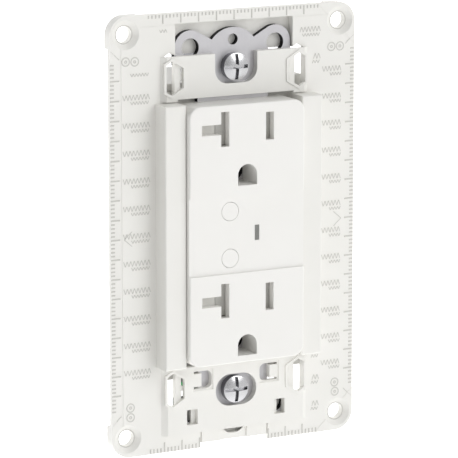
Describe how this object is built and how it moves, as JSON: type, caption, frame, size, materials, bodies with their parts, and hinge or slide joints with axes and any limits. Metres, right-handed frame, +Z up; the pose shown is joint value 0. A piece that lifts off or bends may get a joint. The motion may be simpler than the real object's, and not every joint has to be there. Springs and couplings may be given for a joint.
{
  "type": "duplex wall outlet",
  "caption": "Decorator-style duplex wall outlet with T-slot sockets, round push buttons and an indicator window, on a steel strap in a white plastic mounting sub-plate.",
  "frame": {"origin": "midway between the two device mounting screws, on the wall surface behind the sub-plate's corner pads", "axes": "+Z up along the tall side of the outlet, +X to the right seen from the front, +Y into the wall, so the face looks towards -Y"},
  "size_m": [0.0696, 0.0374, 0.1124],
  "materials": {
    "white_plastic": "satin moulded white polycarbonate",
    "face_plastic": "smooth moulded white thermoplastic",
    "housing_plastic": "light grey moulded thermoset",
    "carrier_plastic": "black moulded insulator",
    "shutter_plastic": "grey moulded acetal",
    "clear_plastic": "translucent moulded light guide",
    "zinc_steel": "zinc-plated rolled steel",
    "zinc_screw": "bright zinc-plated steel",
    "spring_steel": "bright drawn spring wire",
    "brass": "stamped brass",
    "nickel_screw": "nickel-plated brass",
    "green_screw": "green dyed zinc plating",
    "fibre": "pressed fibre board",
    "board_laminate": "glass-epoxy laminate",
    "copper_wire": "enamelled copper winding",
    "ferrite": "sintered core",
    "component_black": "moulded epoxy package",
    "component_blue": "dipped epoxy coating"
  },
  "bodies": {
    "device": {"sub_plate": "white_plastic", "mounting_strap": "zinc_steel", "ground_screw": "green_screw", "device_mounting_screws": "zinc_screw", "screw_retaining_washers": "fibre", "face_cover": "face_plastic", "light_pipe": "clear_plastic", "indicator_lamp": "clear_plastic", "shutter_guide_upper": "shutter_plastic", "shutter_guide_lower": "shutter_plastic", "hot_contact_strip": "brass", "neutral_contact_strip": "brass", "ground_contact_upper": "nickel_screw", "ground_contact_lower": "nickel_screw", "ground_contact_rivets": "zinc_screw", "contact_carrier": "carrier_plastic", "rear_housing": "housing_plastic", "housing_screws": "zinc_screw", "hot_terminal_plates": "brass", "neutral_terminal_plates": "brass", "hot_clamp_plates": "brass", "neutral_clamp_plates": "nickel_screw", "hot_terminal_screws": "brass", "neutral_terminal_screws": "nickel_screw", "circuit_board": "board_laminate", "sensor_shell": "carrier_plastic", "sensor_rings": "ferrite", "filter_capacitor": "component_black", "surge_absorber": "component_blue", "control_chip": "component_black", "thyristor": "component_black", "solenoid_bobbin": "carrier_plastic", "solenoid_winding": "copper_wire", "solenoid_yoke": "zinc_steel", "plunger_spring": "spring_steel", "fixed_contacts": "brass"},
    "test_button": {"test_button": "face_plastic", "test_button_spring": "spring_steel"},
    "reset_button": {"reset_button": "face_plastic", "reset_button_spring": "spring_steel"},
    "shutter_upper": {"shutter_upper": "shutter_plastic", "shutter_spring_upper": "spring_steel"},
    "shutter_lower": {"shutter_lower": "shutter_plastic", "shutter_spring_lower": "spring_steel"},
    "arm_shutter_upper": {"arm_shutter_upper": "shutter_plastic"},
    "arm_shutter_lower": {"arm_shutter_lower": "shutter_plastic"},
    "solenoid_plunger": {"solenoid_plunger": "zinc_screw"},
    "latch": {"latch_block": "carrier_plastic", "moving_contacts": "brass"}
  },
  "joints": [
    {"name": "test_button_press", "type": "slide", "parent": "device", "child": "test_button", "axis": [0, 1, 0], "range_m": [0, 0.0013], "stiffness_N_per_m": 300, "springref_m": -0.001},
    {"name": "reset_button_press", "type": "slide", "parent": "device", "child": "reset_button", "axis": [0, 1, 0], "range_m": [0, 0.0013], "stiffness_N_per_m": 300, "springref_m": -0.001},
    {"name": "shutter_upper_slide", "type": "slide", "parent": "device", "child": "shutter_upper", "axis": [1, 0, 0], "range_m": [0, 0.0032], "stiffness_N_per_m": 60, "springref_m": -0.001},
    {"name": "shutter_lower_slide", "type": "slide", "parent": "device", "child": "shutter_lower", "axis": [1, 0, 0], "range_m": [0, 0.0032], "stiffness_N_per_m": 60, "springref_m": -0.001},
    {"name": "arm_shutter_upper_drop", "type": "slide", "parent": "device", "child": "arm_shutter_upper", "axis": [0, 0, -1], "range_m": [0, 0.0038], "stiffness_N_per_m": 40, "springref_m": -0.001},
    {"name": "arm_shutter_lower_drop", "type": "slide", "parent": "device", "child": "arm_shutter_lower", "axis": [0, 0, -1], "range_m": [0, 0.0038], "stiffness_N_per_m": 40, "springref_m": -0.001},
    {"name": "plunger_pull", "type": "slide", "parent": "device", "child": "solenoid_plunger", "axis": [0, 0, 1], "range_m": [0, 0.0025], "stiffness_N_per_m": 150, "springref_m": -0.001, "deforming": ["plunger_spring"]},
    {"name": "latch_trip", "type": "slide", "parent": "device", "child": "latch", "axis": [0, 1, 0], "range_m": [0, 0.0015], "stiffness_N_per_m": 150, "springref_m": -0.001}
  ]
}
